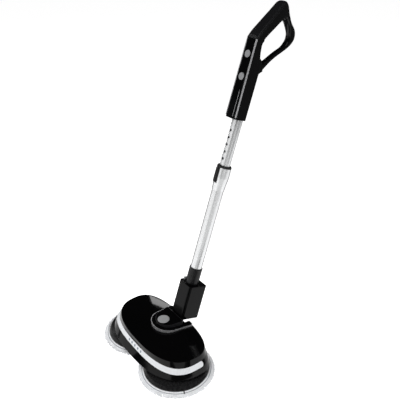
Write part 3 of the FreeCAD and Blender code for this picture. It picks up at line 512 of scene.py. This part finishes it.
# a short folded tab sewn to the edge of the right pad
def pad_tab(side, cx, az):
    bm = bmesh.new()
    out, tan = Vector((math.cos(az), math.sin(az), 0)), Vector((-math.sin(az), math.cos(az), 0))
    base = Vector((cx, -YS, 0)) + out * 0.0885
    # the tape runs out over the binding, down the crowned edge, and folds back on itself
    line = [(-0.0070, 0.0094), (-0.0045, 0.0096), (-0.0022, 0.0093), (-0.0006, 0.0085), (0.0008, 0.0074), (0.0016, 0.0064),
            (0.0024, 0.0066), (0.0022, 0.0077), (0.0008, 0.0090), (-0.0012, 0.0101), (-0.0040, 0.0105)]
    rows = []
    for i, (r, z) in enumerate(line):
        a, b = line[max(i - 1, 0)], line[min(i + 1, len(line) - 1)]
        run = Vector((b[0] - a[0], b[1] - a[1]))
        run.normalize()
        for_side = []
        for lift in (0.00035, -0.00035):
            for k in range(7):
                w = (k / 6 - 0.5) * 0.0034
                sag = 0.0003 * math.sin(k * 2.1 + i)
                for_side.append(bm.verts.new(base + out * (r - run[1] * lift) + tan * w + Vector((0, 0, max(z + run[0] * lift + sag, 0.0006)))))
        rows.append(for_side)
    for a, b in zip(rows, rows[1:]):
        order = list(range(7)) + list(range(13, 6, -1))
        for i, j in zip(order, order[1:] + order[:1]):
            bm.faces.new((a[i], a[j], b[j], b[i]))
    order = list(range(7)) + list(range(13, 6, -1))
    bm.faces.new([rows[0][k] for k in order][::-1])
    bm.faces.new([rows[-1][k] for k in order])
    tab = mesh_object(side + "_pad_tab", bm, [M["tab_tape"]])
    sub = tab.modifiers.new("round", "SUBSURF")
    sub.levels = sub.render_levels = 1
    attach(tab, side + "_disc_set")
    return tab


pad_tab("right", G, math.radians(-22.2))


# a thin bright bead on the lower front of the handle, beside the right trim strip
def front_bead():
    bm = bmesh.new()
    rows = []
    for i in range(25):
        z = 546.0 + 65.0 * i / 24
        end = min(1.0, 0.35 + min(i, 24 - i) * 0.33)
        row = []
        for k in range(10):
            t = 2 * math.pi * k / 10
            row.append(bm.verts.new(stick(7.6 + 0.55 * end * math.cos(t), -27.05 - 0.32 * end * math.sin(t), z)))
        rows.append(row)
    for a, b in zip(rows, rows[1:]):
        for k in range(10):
            j = (k + 1) % 10
            bm.faces.new((a[k], a[j], b[j], b[k]))
    bm.faces.new(rows[0][::-1])
    bm.faces.new(rows[-1])
    bead = mesh_object("front_bead", bm, [M["dark_chrome"]])
    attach(bead, "handle")
    return bead


front_bead()


# ------------------------------------------------------------------ studio
floor_mesh = bpy.data.meshes.new("floor")
bm = bmesh.new()
bmesh.ops.create_grid(bm, x_segments=1, y_segments=1, size=40)
bm.to_mesh(floor_mesh)
bm.free()
floor = link(bpy.data.objects.new("floor", floor_mesh))
floor.location = (0, 0, -0.0003)
f = Tree("floor_white")
f.set(Base_Color=f.mix(f.noise(2.0), (0.80, 0.80, 0.80), (0.82, 0.82, 0.82)), Roughness=0.9)
f.p.inputs["Emission Color"].default_value = (1, 1, 1, 1)
f.p.inputs["Emission Strength"].default_value = 0.95
f.p.inputs["Specular IOR Level"].default_value = 0.0
# what polished faces see of the floor: white near the object and to the front left, dark further off and behind
fx = f.new("ShaderNodeSeparateXYZ")
f.link(f.coord, fx.inputs[0])
wide = f.math("SQRT", f.math("ADD", f.math("MULTIPLY", fx.outputs["X"], fx.outputs["X"]), f.math("MULTIPLY", fx.outputs["Y"], fx.outputs["Y"])))


def sector(mid, half, soft, x0=0.0, y0=0.10):
    """1 inside a sector of the floor about the point (x0, -y0), 0 outside it."""
    at = f.math("ARCTAN2", f.math("ADD", fx.outputs["Y"], y0), f.math("SUBTRACT", fx.outputs["X"], x0))
    off = f.math("SUBTRACT", at, math.radians(mid))
    off = f.math("ARCCOSINE", f.math("COSINE", off))
    return f.span(off, math.radians(half - soft), math.radians(half + soft), 1.0, 0.0, True)


def rings(r0, r1):
    return f.span(wide, r0, r1, 0.0, 1.0, True)


level = f.span(f.math("MULTIPLY", sector(42, 46, 10), rings(1.1, 1.7)), 0.0, 1.0, 1.05, 0.15)
rear = f.math("MULTIPLY", sector(139.5, 59.5, 8), rings(0.10, 0.20))
level = f.math("MULTIPLY", level, f.span(rear, 0.0, 1.0, 1.0, 0.07))
camera_side = f.math("MULTIPLY", sector(-29, 38.5, 1.0, 0.085, YS), f.span(wide, 0.85, 0.97, 0.97, 0.30, True))
camera_side = f.math("MULTIPLY", camera_side, rings(0.36, 0.38))
level = f.math("MULTIPLY", level, f.math("SUBTRACT", 1.0, camera_side))
seen = f.new("ShaderNodeEmission")
f.link(level, seen.inputs["Strength"])
path = f.new("ShaderNodeLightPath")
pick = f.new("ShaderNodeMixShader")
f.link(path.outputs["Is Glossy Ray"], pick.inputs[0])
f.link(f.p.outputs[0], pick.inputs[1])
f.link(seen.outputs[0], pick.inputs[2])
f.link(pick.outputs[0], f.out.inputs[0])
floor.data.materials.append(f.mat)

# a lit card low behind the head, seen only in the polished casing
AZC = math.radians(145.2)
away, across = Vector((math.cos(AZC), math.sin(AZC), 0)), Vector((math.sin(AZC), -math.cos(AZC), 0))
mid = Vector((-0.06, -YS + 0.075, 0.0)) + away * 0.60
bm = bmesh.new()
quad = [bm.verts.new(mid + across * u + Vector((0, 0, z))) for u, z in ((-0.075, 0.345), (0.30, 0.345), (0.30, 0.437), (-0.075, 0.437))]
bm.faces.new(quad)
card_mat = Tree("lit_card")
glow = card_mat.new("ShaderNodeEmission")
card_mat.link(card_mat.span(card_mat.noise(4.0), 0.3, 0.7, 4.6, 5.0), glow.inputs["Strength"])
card_mat.link(glow.outputs[0], card_mat.out.inputs[0])
lit_card = mesh_object("lit_card", bm, [card_mat.mat], smooth=False)
lit_card.visible_camera = False
lit_card.visible_diffuse = False
lit_card.visible_shadow = False

AZF = math.radians(-135.0)
toward, sideways = Vector((math.cos(AZF), math.sin(AZF), 0)), Vector((-math.sin(AZF), math.cos(AZF), 0))
mid = Vector((-0.08, -YS, 0.0)) + toward * 0.70
bm = bmesh.new()
quad = [bm.verts.new(mid + sideways * u + Vector((0, 0, z))) for u, z in ((-0.17, 0.09), (0.17, 0.09), (0.17, 0.31), (-0.17, 0.31))]
bm.faces.new(quad)
side_mat = Tree("side_card")
dim = side_mat.new("ShaderNodeEmission")
side_mat.link(side_mat.span(side_mat.noise(4.0), 0.3, 0.7, 0.9, 1.0), dim.inputs["Strength"])
side_mat.link(dim.outputs[0], side_mat.out.inputs[0])
side_card = mesh_object("side_card", bm, [side_mat.mat], smooth=False)
side_card.visible_camera = False
side_card.visible_diffuse = False
side_card.visible_shadow = False

world = bpy.data.worlds.new("studio")
bpy.context.scene.world = world
world.use_nodes = True
wt = world.node_tree
wt.nodes.clear()


def world_node(kind, **inputs):
    node = wt.nodes.new(kind)
    for key, value in inputs.items():
        node.inputs[int(key[1:])].default_value = value
    return node


wo = world_node("ShaderNodeOutputWorld")
wb = world_node("ShaderNodeBackground")
wc = world_node("ShaderNodeTexCoord")
ws = world_node("ShaderNodeSeparateXYZ")
wt.links.new(wc.outputs["Generated"], ws.inputs[0])
# all round: pale at the horizon, dark above
low = world_node("ShaderNodeMapRange", _1=0.04, _2=0.14, _3=0.10, _4=0.012)
low.interpolation_type = "SMOOTHSTEP"
wt.links.new(ws.outputs["Z"], low.inputs[0])


def wmath(op, a, b):
    node = wt.nodes.new("ShaderNodeMath")
    node.operation = op
    for i, v in enumerate((a, b)):
        if isinstance(v, (int, float)):
            node.inputs[i].default_value = v
        else:
            wt.links.new(v, node.inputs[i])
    return node.outputs[0]


def wspan(value, a0, a1, b0, b1):
    node = world_node("ShaderNodeMapRange", _1=a0, _2=a1, _3=b0, _4=b1)
    node.interpolation_type = "SMOOTHSTEP"
    wt.links.new(value, node.inputs[0])
    return node.outputs[0]


def panel(az0, az1, z0, z1, strength, soft=0.02):
    """A lit card standing on the horizon between two azimuths and two heights."""
    out = wmath("MULTIPLY", wspan(ws.outputs["Z"], z0 - soft, z0 + soft, 0.0, 1.0), wspan(ws.outputs["Z"], z1 - soft, z1 + soft, 1.0, 0.0))
    for az, sign in ((az0, 1), (az1, -1)):
        dot = wt.nodes.new("ShaderNodeVectorMath")
        dot.operation = "DOT_PRODUCT"
        t = math.radians(az + 90)
        dot.inputs[1].default_value = (sign * math.cos(t), sign * math.sin(t), 0.0)
        wt.links.new(wc.outputs["Generated"], dot.inputs[0])
        out = wmath("MULTIPLY", out, wspan(dot.outputs["Value"], -soft, soft, 0.0, 1.0))
    return wmath("MULTIPLY", out, strength)


total = low.outputs[0]
for card in (panel(-127, -69, -0.30, 0.30, 1.0, 0.015), panel(170, 225, -0.30, 0.10, 0.25, 0.05),
             panel(-128, -78, 0.64, 0.74, 0.15, 0.02), panel(15, 37, 0.53, 0.74, 0.85, 0.03)):
    total = wmath("MAXIMUM", total, card)
# the camera itself sees a plain pale surround
sight = wt.nodes.new("ShaderNodeLightPath")
total = wmath("ADD", wmath("MULTIPLY", total, wmath("SUBTRACT", 1.0, sight.outputs["Is Camera Ray"])), sight.outputs["Is Camera Ray"])
wt.links.new(total, wb.inputs["Strength"])
wt.links.new(wb.outputs[0], wo.inputs[0])


def area(name, at, aim, size, strength, glossy=True, diffuse=True, size_y=None):
    data = bpy.data.lights.new(name, "AREA")
    data.shape = "RECTANGLE"
    data.size = size
    data.size_y = size_y or size
    data.energy = strength
    obj = link(bpy.data.objects.new(name, data))
    obj.location = Vector(at)
    obj.rotation_euler = (Vector(at) - Vector(aim)).to_track_quat("Z", "Y").to_euler()
    obj.visible_glossy = glossy
    obj.visible_diffuse = diffuse
    obj.visible_camera = False
    return obj


HEAD_AT = Vector((0, -YS, 0.06))
area("key_top", (0.5, -1.0, 2.2), (0, -0.1, 0.1), 1.6, 50, glossy=False)
area("soft_left", (-1.35, -1.45, 0.40), HEAD_AT, 1.3, 5.0, size_y=0.5, glossy=False)
area("soft_right", (1.40, 0.85, 0.75), HEAD_AT, 1.1, 6.0, size_y=0.9, glossy=False)
area("far_left", (-1.8, -0.6, 1.30), (0, 0.15, 0.8), 0.7, 4.0, diffuse=False)
area("high_right", (0.95, -0.20, 1.75), HEAD_AT, 0.45, 1.3, diffuse=False)
